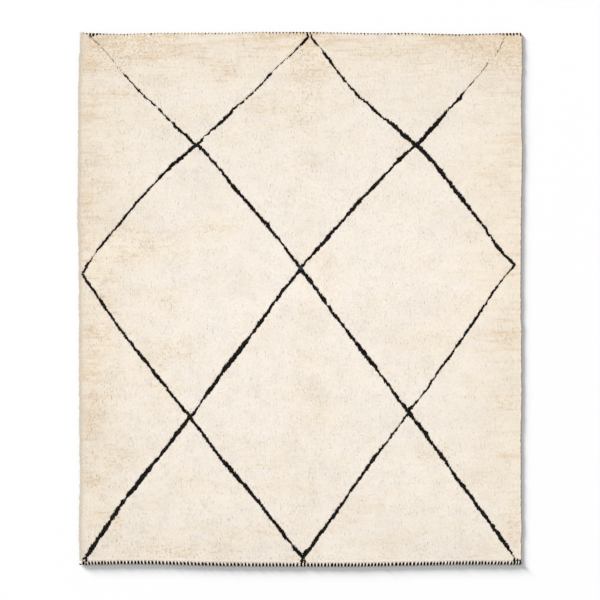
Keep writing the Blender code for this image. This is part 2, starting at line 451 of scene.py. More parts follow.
def ground_mesh():
    """A closed slab: an uneven top of small cells, walls with a waist, and one flat face below."""
    nx, ny = ground_cells_across, ground_cells_along
    row = nx + 1
    points, lies = [], []
    for j in range(ny + 1):
        for i in range(row):
            across, along = i / nx, j / ny
            x, y = bed_point(across, along)
            points.append((x, y, ground_height(x, y, across, along)))
            lies.append(lie_of_pile(x, across, along))
    cells = [k for j in range(ny) for k in range(j * row, j * row + nx)]
    faces = [(k, k + 1, k + 1 + row, k + row) for k in cells]
    front, right = range(nx), range(nx, ny * row, row)
    back, left = range(ny * row + nx, ny * row, -1), range(ny * row, 0, -row)
    rim = [*front, *right, *back, *left]
    count = len(rim)
    waist, foot = len(points), len(points) + count
    plan = [(k % row / nx, k // row / ny) for k in rim]
    below = [plan_point(*shares, side_reach, binding_depth + seam_gap) for shares in plan]
    points += [
        (x, y, min(waist_height, waist_share * points[k][2])) for k, (x, y) in zip(rim, below)
    ]
    points += [(x, y, 0.0) for x, y in below]
    lies += [lies[k] for k in rim] * 2
    for k in range(count):
        after = (k + 1) % count
        faces.append((waist + k, waist + after, rim[after], rim[k]))
        faces.append((foot + k, foot + after, waist + after, waist + k))
    faces.append(tuple(foot + k for k in range(count - 1, -1, -1)))
    mesh = plain_mesh("rug_ground", points, faces)
    mesh.shade_smooth()
    mesh.set_sharp_from_angle(angle=0.9)
    keep_at_points(mesh, "lie", lies)
    return mesh


ground = add_piece("rug_ground", ground_mesh(), packed_wool())
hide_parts("rug_field")


# ---------------------------------------------------------------------------------------------
# Lattice of dark lines
# Two and a half open diamonds across, knotted freehand in near-black wool, so each line bends
# and swells. Here it is a flat guide that tells the cream and the dark knots apart: each line
# runs between two crossings, and its rows give how it strays and how wide it is.

CROSSINGS = {
    # name: across, along, in millimetres from the rug's middle
    "left_corner_end": (-1184, 1490), "left_corner_back": (-1168, 1466),
    "middle_end_left": (47, 1497), "middle_back_left": (48, 1460),
    "middle_end_right": (65, 1497), "middle_back_right": (67, 1463),
    "right_corner_back": (1170, 1485), "upper_left": (-573, 860), "upper_right": (657, 860),
    "centre": (7, 173), "left_tip": (-1210, 140), "right_tip": (1209, 190),
    "lower_left": (-607, -656), "lower_right": (609, -628), "middle_front": (15, -1450),
    "middle_tail_left": (13, -1485), "middle_tail_top": (30, -1463),
    "middle_tail_right": (31, -1485), "left_fork": (-1194, -1444),
    "left_fork_outer": (-1230, -1483), "left_fork_inner": (-1191, -1485),
    "right_corner_front": (1206, -1448), "right_stitch_top": (1206, -1452),
    "right_stitch": (1205, -1485), "right_outer_top": (1224, -1461),
    "right_outer": (1220, -1485),
}
LINES = (
    # from, to, rows of (percent of the way, millimetres to the right of straight, width)
    ("left_corner_end", "left_corner_back", ((0, 0, 14), (100, 0, 11))),
    ("middle_end_left", "middle_back_left", ((0, 0, 14), (60, 0, 9), (100, 0, 7))),
    ("middle_end_right", "middle_back_right", ((0, 0, 14), (60, 0, 8), (100, 0, 7))),
    ("left_corner_back", "upper_left",
     ((0, 0, 7), (5, 0, 4), (12, -3, 2.5), (19, 1, 3), (21, 3, 5), (24, 6, 3), (32, 11, 3),
      (34.5, 12, 8), (42, 16, 5), (47, 18, 9), (55, 17, 8), (57, 14, 3), (59, 12, 9), (62, 9, 9),
      (64, 9, 1), (66, 10, 9), (71, 11, 7), (74, 12, 8), (77, 11, 3), (79, 10, 12), (90, 4, 13),
      (100, 2, 14))),
    ("middle_back_left", "upper_left",
     ((0, 4, 9), (5, 3, 12), (8.5, 2, 12), (11, 1, 8), (13, 0, 4), (17, 1, 7), (19, 2, 3.5),
      (23, 4, 5), (28, 4, 7), (31, 3, 6), (38, 0, 8), (48, -4, 9.5), (58, -2, 8), (62, 1, 7),
      (64.5, 3, 14), (73, 3, 12), (78, 1, 12), (82, 3, 13), (86, 5, 8), (94, 4, 7.5),
      (100, 3, 16))),
    ("middle_back_right", "upper_right",
     ((0, 1, 9), (3, 2, 10), (6, 3, 11), (7.5, 4, 8), (9, 5, 5), (11, 5, 6), (12.5, 6, 11),
      (16, 10, 12), (20, 14, 12), (23.5, 19, 8), (27, 24, 5), (30, 28, 9), (38, 36, 11),
      (46, 37, 9), (50, 37, 11), (56, 34, 8), (62, 31, 11), (70, 28, 9), (77, 19, 12),
      (80, 15, 19), (90, 8, 24), (95, 4, 22), (100, 0, 20))),
    ("right_corner_back", "upper_right",
     ((0, 5, 6), (6, 0, 3), (12, -15, 4), (16, -18, 2), (30, -19, 3.5), (40, -19, 4),
      (43, -18, 7), (47, -16, 4), (49, -16, 2), (52, -16, 11), (56, -18, 17), (60, -15, 12),
      (65, -11, 9), (75, -8, 16), (80, -6, 21), (88, -3, 21), (94, -1, 25), (100, 2, 23))),
    ("upper_left", "left_tip",
     ((0, 6, 18), (8, 18, 16), (18, 31, 15), (27, 37, 12), (33, 38, 8), (50, 42, 9),
      (65, 36, 10), (80, 31, 9), (87, 26, 6), (95, 15, 8), (100, 4, 12))),
    ("left_tip", "lower_left",
     ((0, 4, 12), (6, 9, 11), (18, 14, 14), (30, 20, 12), (45, 22, 11), (55, 18, 15),
      (70, 16, 16), (85, 12, 10), (95, 11, 13), (100, 6, 13))),
    ("upper_left", "centre",
     ((0, -4, 17), (8, -12, 11), (25, -11, 11), (33, -7, 18), (44, -9, 13), (52, -10, 21),
      (56, -11, 13), (66, -12, 18), (78, -12, 8), (82, -8, 7), (85, -6, 12), (92, -4, 11),
      (100, 0, 16))),
    ("upper_right", "centre",
     ((0, 4, 20), (5, 11, 9), (9, 13, 16), (15, 16, 23), (19, 18, 13), (23, 18, 8), (28, 17, 14),
      (33, 17, 17), (45, 18, 14), (52, 17, 22), (57, 15, 15), (62, 13, 12), (75, 9, 15),
      (80, 6, 23), (86, 5, 18), (90, 5, 7), (94, 4, 9), (100, 3, 19))),
    ("upper_right", "right_tip",
     ((0, -1, 25), (10, -11, 20), (25, -13, 19), (45, -7, 20), (58, -4, 15), (64, -2, 16),
      (70, 0, 12), (82, 11, 15), (92, 9, 15), (100, 3, 12))),
    ("right_tip", "lower_right",
     ((0, 2, 12), (6, 7, 5), (14, 12, 6), (20, 10, 11), (26, 6, 6), (36, 1, 10), (48, -4, 13),
      (55, -5, 10), (70, -6, 9), (78, -9, 9), (85, -11, 9), (91, -10, 6), (100, 0, 17))),
    ("centre", "lower_left",
     ((0, -4, 22), (5, 0, 9), (10, 3, 12), (15, 6, 15), (30, 2, 13), (36, 1, 18), (41, 0, 18),
      (44, 0, 11), (49, 0, 19), (53, 0, 25), (58, 2, 20), (68, 5, 25), (73, 4, 24), (78, 2, 19),
      (85, 3, 17), (90, 2, 8), (94, -3, 8), (100, 0, 16))),
    ("centre", "lower_right",
     ((0, 2, 19), (10, 0, 17), (19, 3, 15), (23, 4, 18), (27, 5, 14), (32, 5, 14), (37, 4, 10),
      (45, 4, 13), (52, 3, 15), (58, 2, 21), (69, -2, 20), (73, -1, 9), (77, 0, 8), (81, 1, 16),
      (85, 2, 10), (90, 2, 16), (100, 0, 20))),
    ("lower_left", "left_fork",
     ((0, 4, 20), (7, 5, 14), (14, 6, 19), (20, 5, 14), (25, 5, 14), (36, 12, 18), (44, 14, 25),
      (52, 15, 20), (60, 20, 14), (64, 18, 19), (72, 15, 22), (80, 9, 21), (86, 7, 25),
      (92, 5, 23), (100, 0, 20))),
    ("left_fork", "left_fork_outer", ((0, 0, 10), (40, 2, 6), (100, 0, 5))),
    ("left_fork", "left_fork_inner", ((0, 0, 10), (30, -3, 8), (100, 0, 9))),
    ("lower_left", "middle_front",
     ((0, 8, 17), (6, 8, 13), (10, 8, 15), (16, 11, 12), (23, 13, 10), (28, 13, 14),
      (33, 10, 20), (44, 6, 25), (50, 4, 18), (57, 1, 19), (60, 0, 19), (65, -1, 15),
      (72, -1, 14), (78, -1, 14), (82, -1, 22), (87, 0, 15), (91, 0, 16), (95, -1, 22),
      (100, -3, 24))),
    ("lower_right", "middle_front",
     ((0, -8, 15), (5, -7, 6), (15, -6, 9), (20, -6, 10), (26, -3, 13), (34, 1, 16), (48, 0, 13),
      (60, -3, 10), (68, -6, 16), (73, -5, 20), (80, -4, 14), (92, -3, 20), (100, 0, 20))),
    ("middle_front", "middle_tail_left", ((0, 0, 14), (100, 0, 14))),
    ("middle_tail_top", "middle_tail_right", ((0, 0, 9), (100, 0, 13))),
    ("right_stitch_top", "right_stitch", ((0, 0, 12), (100, 0, 15))),
    ("right_outer_top", "right_outer", ((0, 0, 12), (100, 0, 14))),
    ("lower_right", "right_corner_front",
     ((0, 2, 20), (8, -2, 21), (14, -3, 17), (19, -3, 21), (24, -3, 13), (30, -4, 19),
      (40, -1, 13), (44, -1, 22), (50, -1, 17), (55, -2, 16), (60, -3, 20), (70, -3, 18),
      (77, -4, 20), (84, -4, 19), (93, -3, 22), (97, -2, 9), (100, 0, 4))),
)
line_step = 0.004
line_seed = 23
hand_waver = 0.0016  # how far the line strays, and its width swells, from knot to knot
width_waver = 0.22
narrowest, widest = 0.35, 1.7  # the least and the most that a width swells to
full_width = 0.010  # a line this wide has locks of full width
thinnest_lock = 0.34
# How wide the strip of knots is for a line of each width, in millimetres: cream knots are left
# out of a slightly wider strip than the dark ones fill. The wool leans, so the knots sit further
# front than the line that their tips make.
DARK_STRIP = ((0, 1.0), (2, 1.6), (4, 3.7), (7, 6.9), (11, 10.7), (16, 15.6), (25, 24.3))
CREAM_STRIP = ((0, 4.5), (3, 5.5), (11, 13.5), (25, 27.5))
dark_shift = 0.0045
cream_shift = 0.0100
guide_z = 0.5


def strays(count, rng):
    """Smooth random steps about zero, a few knots long, with a finer stray on top."""
    coarse = rng.normal(0.0, 1.0, count // 4 + 2)
    fine = rng.normal(0.0, 0.5, count)
    return np.interp(np.arange(count) / 4.0, np.arange(len(coarse)), coarse) + fine


def line_middle(start, end, rows, rng):
    """The middle of one line of the lattice from start to end, the way across it, its width."""
    a, b = (np.array(CROSSINGS[name]) / 1000.0 for name in (start, end))
    length = float(np.linalg.norm(b - a))
    way = (b - a) / length
    right = np.array((way[1], -way[0]))
    share = np.linspace(0.0, 1.0, max(4, int(length / line_step)))
    percent, stray, breadth = np.array(rows, dtype=float).T
    aside = np.interp(share, percent / 100.0, stray) / 1000.0
    aside = aside + hand_waver * strays(len(share), rng)
    width = np.interp(share, percent / 100.0, breadth) / 1000.0
    width = width * np.clip(1.0 + width_waver * strays(len(share), rng), narrowest, widest)
    middle = a + np.outer(share, way) * length + np.outer(aside, right)
    return middle, right, width


def lattice_guide(name, strip, shift):
    """All the lines as one flat mesh above the rug. It only guides, and is taken away again."""
    rng = np.random.default_rng(line_seed)
    points, faces, swells, runs = [], [], [], []
    for start, end, rows in LINES:
        middle, right, width = line_middle(start, end, rows, rng)
        middle[:, 1] -= shift
        half = np.outer(np.interp(width * 1000.0, *zip(*strip)) / 2000.0, right)
        backward = (-right[1], right[0], 0.0) if right[0] > 0.0 else (right[1], -right[0], 0.0)
        first = len(points)
        for p, q, w in zip(middle - half, middle + half, width):
            points += [(*p, guide_z), (*q, guide_z)]
            swells += [min(1.0, max(thinnest_lock, w / full_width))] * 2
            runs += [backward] * 2
        faces += [(k, k + 1, k + 3, k + 2) for k in range(first, len(points) - 2, 2)]
    mesh = plain_mesh(name, points, faces)
    keep_at_points(mesh, "swell", swells)
    keep_at_points(mesh, "run", runs)
    return put(name, mesh)


dark_guide = lattice_guide("dark_guide", DARK_STRIP, dark_shift)
cream_guide = lattice_guide("cream_guide", CREAM_STRIP, cream_shift)


# ---------------------------------------------------------------------------------------------
# Cream pile
# Locks of undyed sheep's wool, knotted in rows and cut long, that lie towards the back end and
# spill over the sides. Each is a flattened lock drawn to a point, and wear has matted them into
# an even coat.

LOCK_CURLS = (
    # sideways stray of the body and of the tip, arch of the body, droop of the tip, in widths
    (0.12, 0.45, 0.30, 0.10),
    (-0.15, -0.35, 0.34, 0.30),
    (0.03, 0.10, 0.26, 0.05),
    (-0.05, 0.20, 0.32, 0.20),
)
lock_body = 0.42  # how far along the lock it is widest
# Where the lock's root, left, right and tip lie on its map: its upper side, then its under side.
UPPER_MAP = ((0.33, 0.0), (0.0, lock_body), (0.66, lock_body), (0.33, 1.0))
UNDER_MAP = ((0.85, 0.0), (0.70, lock_body), (1.0, lock_body), (0.85, 1.0))
lock_corners = 12

knot_spacing = 0.0071
row_spacing = 0.0060
pile_bands = 4
rim_spacing = 0.0040  # one more run of knots, closer set, along the sides and the ends
rim_inset = 0.001
floor_gap = 0.0006
swirls_per_metre = 13.0
shy_reach = 0.55  # the share of a lock's length at which it looks for a dark line ahead
map_margin, map_share = 0.06, 0.88  # of a lock's or a stitch's own cell on the baked map
tone_step = 60.0  # fibre patterns this far apart for the darkest and the lightest lock
root_shade_height = 0.55  # the painted shade at a lock's root fades out at this share of it
# Painted shade between a lock's fibres, and the husky tone of some locks at random: from, to, and
# how strong each is at the two.
shade_between_fibres = (0.60, 0.34, 0.0, 0.48)
husky_locks = (0.86, 1.0, 0.0, 0.24)


def unroll(mesh, name, places):
    """A map of the mesh, with a place for each corner of each face."""
    layer = mesh.uv_layers.new(name=name)
    layer.data.foreach_set("uv", np.array(places, dtype=np.float32).ravel())


def new_shelf(name):
    """A collection of the shapes that a tree copies."""
    shelf = bpy.data.collections.new(name)
    bpy.context.scene.collection.children.link(shelf)
    return shelf


def clear_shelf(shelf):
    for shape in [*shelf.objects]:
        bpy.data.objects.remove(shape)
    bpy.data.collections.remove(shelf)


def lock_shapes(name):
    """Unit locks, each flat and drawn to a point, with an unrolled map named fibre."""
    shelf = new_shelf(name)
    for number, (body_stray, tip_stray, arch, droop) in enumerate(LOCK_CURLS):
        points = [
            (0.0, 0.0, 0.0),
            (body_stray - 0.5, -arch, lock_body),
            (body_stray + 0.5, -arch, lock_body),
            (tip_stray, droop, 1.0),
        ]
        root, left, right, tip = range(4)
        faces = [(root, right, left), (left, right, tip), (root, left, tip), (root, tip, right)]
        mesh = plain_mesh(f"{name}_{number}", points, faces)
        mesh.shade_smooth()
        upper = {(root, left), (left, tip), (right, tip), (root, right)}
        sharp = mesh.attributes.new("sharp_edge", "BOOLEAN", "EDGE")
        for edge in mesh.edges:
            pair = tuple(edge.vertices)
            sharp.data[edge.index].value = pair in upper or pair[::-1] in upper
        sides = (UPPER_MAP, UPPER_MAP, UNDER_MAP, UNDER_MAP)
        unroll(mesh, "fibre", [side[k] for side, face in zip(sides, faces) for k in face])
        shelf.objects.link(bpy.data.objects.new(mesh.name, mesh))
    return shelf


class Growth(Nodes):
    """A geometry tree with named inputs, which sets wool over the rug."""

    def __init__(self, name, **inputs):
        super().__init__(bpy.data.node_groups.new(name, "GeometryNodeTree"))
        face = self.tree.interface
        for kind, labels in inputs.items():
            for label in labels:
                face.new_socket(name=label, in_out="INPUT", socket_type=f"NodeSocket{kind}")
        face.new_socket(name="Geometry", in_out="OUTPUT", socket_type="NodeSocketGeometry")
        self.given = self.add("NodeGroupInput")

    def xyz(self, x=0.0, y=0.0, z=0.0):
        return self.add("ShaderNodeCombineXYZ", x, y, z)

    def moved(self, start, way, amount):
        """A place or a direction, moved some amount along a way."""
        return self.vector("ADD", start, self.vector("SCALE", way, Scale=amount))

    def chance(self, kind, low, high, step):
        """A random value for each point. Every step draws its own."""
        seed = self.given["Seed"] + float(step)
        drawn = self.add("FunctionNodeRandomValue", data_type=kind, Min=low, Max=high, Seed=seed)
        return drawn["Value"]

    def about_one(self, spread, step):
        """A random share, up to spread less or more than one."""
        return self.chance("FLOAT", 1.0 - spread, self.math("ADD", 1.0, spread), step)

    def below(self, target, place, attribute, kind="FLOAT"):
        """What lies straight below a place on a target object."""
        shape = self.add("GeometryNodeObjectInfo", Object=target)["Geometry"]
        flat = self.vector("MULTIPLY", place, (1.0, 1.0, 0.0))
        read = self.add("GeometryNodeInputNamedAttribute", data_type=kind, Name=attribute)
        return self.add(
            "GeometryNodeRaycast", data_type=kind, Target_Geometry=shape, Attribute=read,
            Source_Position=self.vector("ADD", flat, (0.0, 0.0, 1.0)),
            Ray_Direction=(0.0, 0.0, -1.0), Ray_Length=2.0,
        )

    def turned(self, x, z):
        return self.add("FunctionNodeEulerToRotation", self.xyz(x, 0.0, z))

    def mark(self, copies, name, value):
        """A number kept on each copy, for its material."""
        return self.add("GeometryNodeStoreNamedAttribute", data_type="FLOAT", domain="INSTANCE",
                        Geometry=copies, Name=name, Value=value)

    def finish(self, copies):
        """Make the copies real, keep them off the floor, and dye them."""
        real = self.add("GeometryNodeRealizeInstances", copies)
        x, y, z = self.parts(self.add("GeometryNodeInputPosition"))
        place = self.xyz(x, y, self.math("MAXIMUM", z, floor_gap))
        resting = self.add("GeometryNodeSetPosition", real, Position=place)
        dyed = self.add("GeometryNodeSetMaterial", resting, Material=self.given["Wool"])
        self.add("NodeGroupOutput", dyed)
        return self.tree


def pile_tree():
    """Knots in rows over a bed, each with a lock of wool that follows the bed's lie."""
    t = Growth(
        "knotted_pile",
        Object=("Bed", "Rim Knots", "Lattice"), Bool=("On Lattice",), Collection=("Locks",),
        Material=("Wool",), Vector=("Middle",), Int=("Seed",),
        Float=("Width", "Length", "Knot Spacing", "Row Spacing", "Scatter", "Lock Width",
               "Lock Length", "Size Spread", "Stray", "Swirl", "Follow", "Lift", "Sink",
               "Shyness", "Least Reach"),
    )
    of = t.given
    knots = t.add(
        "GeometryNodeMeshGrid", of["Width"], of["Length"],
        of["Width"] / of["Knot Spacing"], of["Length"] / of["Row Spacing"],
    )
    points = t.add("GeometryNodeMeshToPoints", knots)
    off = t.chance("FLOAT_VECTOR", (-1.0, -1.0, 0.0), (1.0, 1.0, 0.0), 0)
    off = t.vector("ADD", t.vector("SCALE", off, Scale=of["Scatter"]), of["Middle"])
    loose = t.add("GeometryNodeSetPosition", points, Offset=off)
    side = t.add("GeometryNodeObjectInfo", Object=of["Rim Knots"])["Geometry"]
    every = t.add("GeometryNodeJoinGeometry")
    for some in (t.add("GeometryNodeMeshToPoints", side), loose):
        t.give(every.node, {0: some})

    here = t.add("GeometryNodeInputPosition")
    on_bed = t.below(of["Bed"], here, "lie", "FLOAT_VECTOR")
    on_line = t.below(of["Lattice"], here, "swell")
    same = t.add("FunctionNodeBooleanMath", on_line["Is Hit"], of["On Lattice"], operation="XNOR")
    wanted = t.add("FunctionNodeBooleanMath", on_bed["Is Hit"], same, operation="AND")
    unwanted = t.add("FunctionNodeBooleanMath", wanted, operation="NOT")
    kept = t.add("GeometryNodeDeleteGeometry", every, domain="POINT", Selection=unwanted)
    seated = t.add("GeometryNodeSetPosition", kept, Position=on_bed["Hit Position"],
                   Offset=t.xyz(z=-of["Sink"]))

    # a lock follows the bed's lie, then the line it is in, a slow swirl, and its own stray
    lie = on_bed["Attribute"]
    outward, forward, _ = t.parts(lie)
    reach = t.math("MAXIMUM", t.vector("LENGTH", lie)["Value"], of["Least Reach"])
    wave = t.add("ShaderNodeTexNoise", Vector=here, Scale=swirls_per_metre, Detail=3.0)["Color"]
    swirl = t.vector("SUBTRACT", wave, (0.5, 0.5, 0.5))
    stray = t.chance("FLOAT_VECTOR", (-1.0, -1.0, -0.6), (1.0, 1.0, 0.6), 1)
    run = t.below(of["Lattice"], here, "run", "FLOAT_VECTOR")["Attribute"]
    follow = t.math("SIGN", forward) * of["Follow"]
    aim = t.vector("NORMALIZE", t.moved(t.vector("NORMALIZE", lie), run, follow))
    aim = t.moved(t.moved(aim, swirl, of["Swirl"]), stray, of["Stray"])
    aim = t.vector("NORMALIZE", t.vector("ADD", aim, t.xyz(z=of["Lift"])))
    aim_x, aim_y, aim_z = t.parts(aim)
    rotation = t.turned(-t.math("ARCCOSINE", aim_z), t.math("ARCTAN2", -aim_x, aim_y))

    # a lock whose tip would lie over the dark line ahead of it is cut shorter
    full = of["Lock Length"] * reach
    over = t.below(of["Lattice"], t.moved(here, aim, full * shy_reach), "swell")
    shy = over["Attribute"] * of["Shyness"]
    swell = t.math("MAXIMUM", on_line["Attribute"], 1.0 - of["On Lattice"])
    long = full * (1.0 - shy) * t.about_one(of["Size Spread"], 2)
    wide = of["Lock Width"] * swell * t.about_one(of["Size Spread"], 3)

    locks = t.add("GeometryNodeCollectionInfo", Collection=of["Locks"], Separate_Children=True,
                  Reset_Children=True)
    placed = t.add(
        "GeometryNodeInstanceOnPoints", Points=seated, Instance=locks, Pick_Instance=True,
        Instance_Index=t.chance("INT", 0, len(LOCK_CURLS) - 1, 4), Rotation=rotation,
        Scale=t.xyz(wide, wide, long),
    )
    toned = t.mark(placed, "tone", t.chance("FLOAT", 0.0, 1.0, 5))
    return t.finish(t.mark(t.mark(toned, "swell", swell), "aside", outward))


def grow(name, tree, values, corners):
    """Run a tree with these named inputs and keep its result as one plain piece.

    Each copy, of so many corners, gets its own cell of a square map, so that it bakes apart.
    """
    carrier = put(name, bpy.data.meshes.new(name))
    grown = carrier.modifiers.new("grow", "NODES")
    grown.node_group = tree
    for socket in tree.interface.items_tree:
        if socket.in_out == "INPUT":
            grown[socket.identifier] = values[socket.name]
    bpy.context.view_layer.update()
    graph = bpy.context.evaluated_depsgraph_get()
    mesh = bpy.data.meshes.new_from_object(carrier.evaluated_get(graph))
    carrier.modifiers.remove(grown)
    bpy.data.objects.remove(carrier)
    mesh.name = name
    piece = add_piece(name, mesh, values["Wool"])

    fibre = np.empty(len(mesh.loops) * 2, dtype=np.float32)
    mesh.uv_layers["fibre"].data.foreach_get("uv", fibre)
    fibre = fibre.reshape(-1, corners, 2)
    side = int(np.ceil(np.sqrt(len(fibre))))
    number = np.arange(len(fibre))
    cell = np.stack((number % side, number // side), axis=1)[:, None, :]
    unroll(mesh, "OFBake", (cell + map_margin + map_share * fibre) / side)
    return piece


def strands(wool, across, along, curl):
    """Fibre that runs along a lock or a yarn, different on each one."""
    u, v, _ = wool.parts(wool.add("ShaderNodeUVMap", uv_map="fibre"))
    tone = wool.note("tone")
    place = wool.add("ShaderNodeCombineXYZ", (u + v * curl) * across, v * along, tone * tone_step)
    fibre = wool.add("ShaderNodeTexNoise", Vector=place, Scale=1.0, Detail=3.0)
    return fibre, v, tone


def fleece_wool(name, across, along, curl=0.0, cream=CREAM, root=0.25):
    """Undyed wool in locks or yarn: the fleece's colour, a tone for each lock, and its fibre, with
    painted shade at the root and between the fibres.
    """
    wool = Wool(name, **CREAM_SHINE)
    strand, from_root, tone = strands(wool, across, along, curl)
    # painted shade at the root of a lock and between its fibres, and husky locks at random, all
    # tinted with HUSK
    shade = wool.fade(from_root, root_shade_height, 0.0, 0.0, root) + wool.fade(strand, *shade_between_fibres)
    shade = wool.math("ADD", shade, wool.fade(tone, *husky_locks), clamp=True)
    colour = wool.tint(shade, fleece_colour(wool, cream), HUSK)
    return wool.finish(colour, strand, depth=0.0012, strength=0.4)


def rim_knots(name, low, high):
    """The knots along both sides from one place along the rug to another, and along its ends."""
    shares = np.arange(low, high, rim_spacing) / (2.0 * half_length) + 0.5
    places = [(across, along) for across in (0.0, 1.0) for along in shares]
    row = np.arange(0.0, 1.0, rim_spacing / (2.0 * half_width))
    if low < -half_length + rim_width:
        places += [(across, 0.0) for across in row]
    if high > half_length - rim_width:
        places += [(across, 1.0) for across in row]
    return put(name, plain_mesh(name, [(*bed_point(*place, rim_inset), 0.0) for place in places]))


lock_shelf = lock_shapes("lock")
pile = pile_tree()
cream_locks = {
    "Bed": ground, "Lattice": cream_guide, "On Lattice": False, "Locks": lock_shelf,
    "Wool": fleece_wool("cream_wool", across=13.0, along=1.4), "Width": 2.0 * half_width,
    "Knot Spacing": knot_spacing, "Row Spacing": row_spacing, "Scatter": 0.0026,
    "Lock Width": 0.0103, "Lock Length": lock_length, "Size Spread": 0.16, "Stray": 0.07,
    "Swirl": 0.40, "Follow": 0.0, "Lift": 0.0, "Sink": 0.0008, "Shyness": 0.35,
    "Least Reach": 0.45,
}
band_length = 2.0 * half_length / pile_bands
pile_pieces = []
for band in range(pile_bands):
    middle_y = -half_length + (band + 0.5) * band_length
    rim = rim_knots("rim_knots", middle_y - band_length / 2, middle_y + band_length / 2)
    values = {
        **cream_locks, "Middle": (0.0, middle_y, 0.0), "Length": band_length - row_spacing,
        "Rim Knots": rim, "Seed": 100 + 10 * band,
    }
    pile_pieces.append(grow(f"cream_pile_{band + 1}", pile, values, lock_corners))
    bpy.data.objects.remove(rim)


# ---------------------------------------------------------------------------------------------
# Dark pile
# The knots of the lattice, in wool from dark fleece: finer and set closer than the cream, and
# standing two millimetres prouder, with stray tips that lie over the cream beside them.

CHARCOAL = (0.0048, 0.0045, 0.0049)
FADED = (0.062, 0.055, 0.049)
SLATE = (0.060, 0.072, 0.092)
UMBER = (0.210, 0.145, 0.080)
slate_middle = (0.007, 0.176, 0.020)  # a few knots of greyer wool where the lines cross
slate_reach = 0.016
slate_share = 0.8
# Where the dark wool has faded: from, to, and how strong it is at the two.
faded_locks = (0.62, 1.0, 0.0, 0.8)
faded_fibres = (0.5, 0.8, 0.0, 0.5)
brown_ends = (0.38, thinnest_lock, 0.0, 0.8)  # the thinnest stretches of a line are brown


def dark_fleece(name, fresh, worn, across, along, curl=0.0, thins_out=False):
    """Near-black wool, with faded locks here and there and slate ones at the middle crossing."""
    wool = Wool(name, sheen=0.0, gloss=0.03)
    strand, _, tone = strands(wool, across, along, curl)
    away = wool.vector("DISTANCE", wool.place, slate_middle)["Value"]
    near = wool.fade(away, slate_reach, 0.6 * slate_reach, 0.0, slate_share)
    pale = (wool.fade(tone, *faded_locks), wool.fade(strand, *faded_fibres))
    faded = wool.math("ADD", *pale, clamp=True)
    colour = wool.tint(near, wool.tint(faded, fresh, worn), SLATE)
    if thins_out:
        colour = wool.tint(wool.fade(wool.note("swell"), *brown_ends), colour, UMBER)
    return wool.finish(colour, strand, depth=0.0012, strength=0.35)


no_knots = rim_knots("no_knots", 0.0, 0.0)
dark_locks = {
    **cream_locks, "Lattice": dark_guide, "On Lattice": True, "Rim Knots": no_knots,
    "Wool": dark_fleece("dark_wool", CHARCOAL, FADED, 7.0, 1.6, thins_out=True),
    "Middle": (0.0, 0.0, 0.0), "Length": 2.0 * half_length, "Knot Spacing": 0.0032,
    "Row Spacing": 0.0031, "Scatter": 0.0011, "Lock Width": 0.0062, "Lock Length": 0.0160,
    "Stray": 0.14, "Swirl": 0.30, "Follow": 1.5, "Lift": 0.60, "Shyness": 0.0,
    "Least Reach": 0.95, "Seed": 900,
}
dark_pile = grow("lattice_pile", pile, dark_locks, lock_corners)
for spent in (dark_guide, cream_guide, no_knots):
    bpy.data.objects.remove(spent)
clear_shelf(lock_shelf)


# ---------------------------------------------------------------------------------------------
# Bound ends
# The warp end is folded under into a firm roll and oversewn with thick wool, one black stitch
# and one cream in turn. The stitches wrap the roll from the seam to the floor; at the back end
# the pile falls over most of them.

BINDING_SECTION = (
    # distance from the seam as a share of the depth, height in metres
    (0.00, 0.0000), (0.00, 0.0066), (0.16, 0.0082), (0.40, 0.0088), (0.66, 0.0080),
    (0.84, 0.0058), (0.91, 0.0030), (0.88, 0.0000),
)
roll_steps = 120
roll_end = 0.006
roll_inset = 0.014  # from the outline of the sides to the roll's end
roll_end_size = 0.6  # the share of its size that the roll has at its two ends
# the warp's own colour on its ridges, and painted shade in its creases
WARP_CREASE_SHADE = (0.56, 0.49, 0.40)
WARP_RIDGE = (0.80, 0.73, 0.63)


def end_edge(front, share):
    """The seam line of one end: its place across and along the rug."""
    x, _ = plan_point(share, 0.0 if front else 1.0, roll_inset, 0.0)
    edge = half_length - waver(END_WAVER, 1 if front else 2, share)
    seam = edge - binding_depth
    return x, -seam if front else seam


def roll_mesh(front):
    """The rolled warp under the stitches, closed at both ends."""
    outward = -1.0 if front else 1.0
    stations = [(k / roll_steps, 0.0, 1.0) for k in range(roll_steps + 1)]
    stations = [(0.0, -roll_end, roll_end_size), *stations, (1.0, roll_end, roll_end_size)]
    points, faces = [], []
    for share, past, size in stations:
        x, seam_y = end_edge(front, share)
        for across, height in BINDING_SECTION:
            depth = ((1.0 - size) * 0.5 + size * across) * binding_depth
            points.append((x + past, seam_y + outward * depth, size * height))
    count = len(BINDING_SECTION)
    for s in range(len(stations) - 1):
        for k in range(count):
            a, b = s * count + k, s * count + (k + 1) % count
            quad = (a, a + count, b + count, b)
            faces.append(quad[::-1] if front else quad)
    ends = (tuple(range(count)), tuple(range(len(points) - 1, len(points) - 1 - count, -1)))
    faces += tuple(end[::-1] for end in ends) if front else ends
    mesh = plain_mesh("roll", points, faces)
    mesh.shade_smooth()
    return mesh


def warp_wool():
    """Plied warp, darker than the pile and creased across, with painted shade in its creases."""
    wool = Wool("warp_wool", **CREAM_SHINE)
    grain = wool.cloud(wool.place, size=0.004, stretch=(1.0, 0.3, 1.0), rough=0.6)
    # painted shade where the grain's bump sinks into a crease
    colour = wool.tint(wool.fade(grain, 0.35, 0.70), WARP_CREASE_SHADE, WARP_RIDGE)
    return wool.finish(colour, grain, depth=0.001, strength=0.6)


warp = warp_wool()
binding_pieces = []
for end_name in ("front", "back"):
    roll = add_piece(f"end_roll_{end_name}", roll_mesh(end_name == "front"), warp)
    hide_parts(f"end_binding_{end_name}")
    binding_pieces.append(roll)


